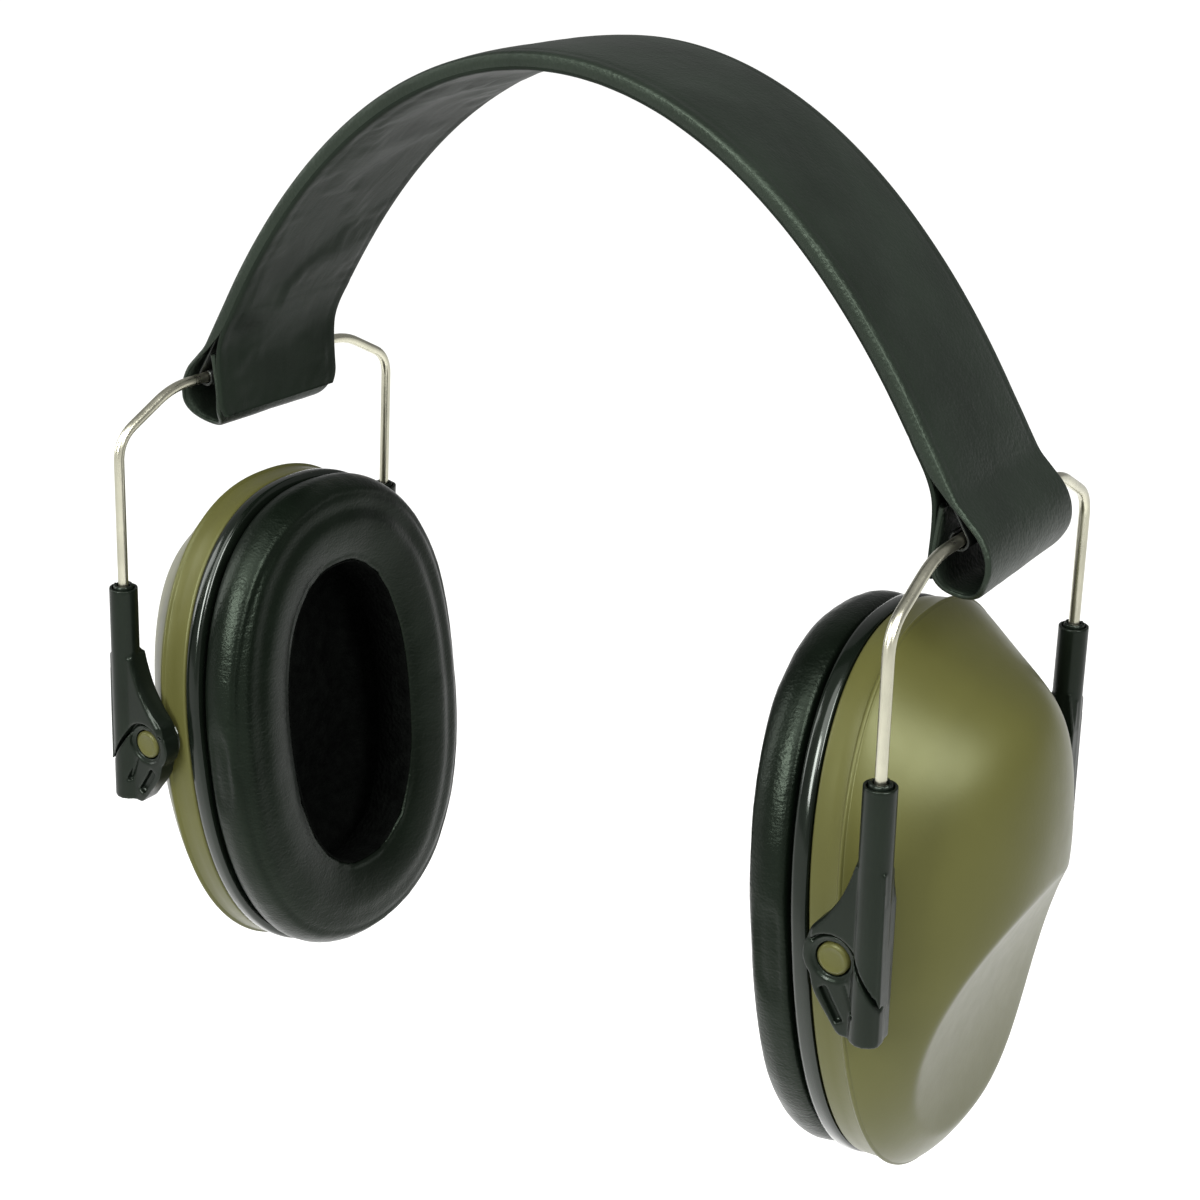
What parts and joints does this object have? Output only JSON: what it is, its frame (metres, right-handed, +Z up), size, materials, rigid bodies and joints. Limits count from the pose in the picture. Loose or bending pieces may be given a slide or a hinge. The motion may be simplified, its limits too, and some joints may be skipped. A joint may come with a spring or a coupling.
{
  "type": "hearing protection earmuffs",
  "caption": "Folding hearing protection earmuffs: padded vinyl spring headband, steel wire yokes with sliding plastic arms, and olive oval cups with soft black ear cushions.",
  "frame": {"origin": "middle of the headband's underside at the crown, where the band rests on the head", "axes": "+X from the left ear cup to the right one, +Y from the front arms to the rear arms, +Z up"},
  "size_m": [0.1965, 0.0856, 0.1938],
  "materials": {
    "band_vinyl": "satin fine-grained black vinyl",
    "band_lining": "smooth creased black vinyl",
    "spring_steel": "blued spring strip",
    "foam": "open-cell dark foam",
    "wire_steel": "bright drawn stainless wire",
    "arm_plastic": "satin moulded black",
    "rim_plastic": "gloss moulded black",
    "cup_plastic": "satin olive green moulding",
    "cushion_vinyl": "soft semi-gloss black vinyl, fine wrinkles"
  },
  "bodies": {
    "headband": {"headband_outer_cover": "band_vinyl", "headband_inner_lining": "band_lining", "headband_foam_pad": "foam", "headband_spring_strip": "spring_steel"},
    "yoke_left": {"yoke_wire_left": "wire_steel"},
    "arms_left": {"arm_front_left": "arm_plastic", "arm_rear_left": "arm_plastic", "wire_bush_front_left": "arm_plastic", "wire_bush_rear_left": "arm_plastic"},
    "cup_left": {"cup_shell_left": "cup_plastic", "pivot_pin_front_left": "cup_plastic", "pivot_pin_rear_left": "cup_plastic", "cup_foam_liner_left": "foam", "cup_backplate_left": "rim_plastic", "cushion_ring_left": "rim_plastic", "cushion_foam_left": "foam", "cushion_cover_left": "cushion_vinyl"},
    "yoke_right": {"yoke_wire_right": "wire_steel"},
    "arms_right": {"arm_front_right": "arm_plastic", "arm_rear_right": "arm_plastic", "wire_bush_front_right": "arm_plastic", "wire_bush_rear_right": "arm_plastic"},
    "cup_right": {"cup_shell_right": "cup_plastic", "pivot_pin_front_right": "cup_plastic", "pivot_pin_rear_right": "cup_plastic", "cup_foam_liner_right": "foam", "cup_backplate_right": "rim_plastic", "cushion_ring_right": "rim_plastic", "cushion_foam_right": "foam", "cushion_cover_right": "cushion_vinyl"}
  },
  "joints": [
    {"name": "fold_left", "type": "hinge", "parent": "headband", "child": "yoke_left", "pos_m": [-0.0802, 0, -0.0648], "axis": [0, -1, 0], "range_deg": [-9, 70]},
    {"name": "height_left", "type": "slide", "parent": "yoke_left", "child": "arms_left", "axis": [0.0489, 0, 0.9988], "range_m": [-0.009, 0.012]},
    {"name": "tilt_left", "type": "hinge", "parent": "arms_left", "child": "cup_left", "pos_m": [-0.07751, 0, -0.13462], "axis": [0, 1, 0], "range_deg": [-15, 75.2]},
    {"name": "fold_right", "type": "hinge", "parent": "headband", "child": "yoke_right", "pos_m": [0.0802, 0, -0.0648], "axis": [0, 1, 0], "range_deg": [-11, 68]},
    {"name": "height_right", "type": "slide", "parent": "yoke_right", "child": "arms_right", "axis": [-0.0157, 0, 0.9999], "range_m": [-0.0135, 0.007]},
    {"name": "tilt_right", "type": "hinge", "parent": "arms_right", "child": "cup_right", "pos_m": [0.07512, 0, -0.12979], "axis": [0, -1, 0], "range_deg": [-30, 62.2]}
  ]
}
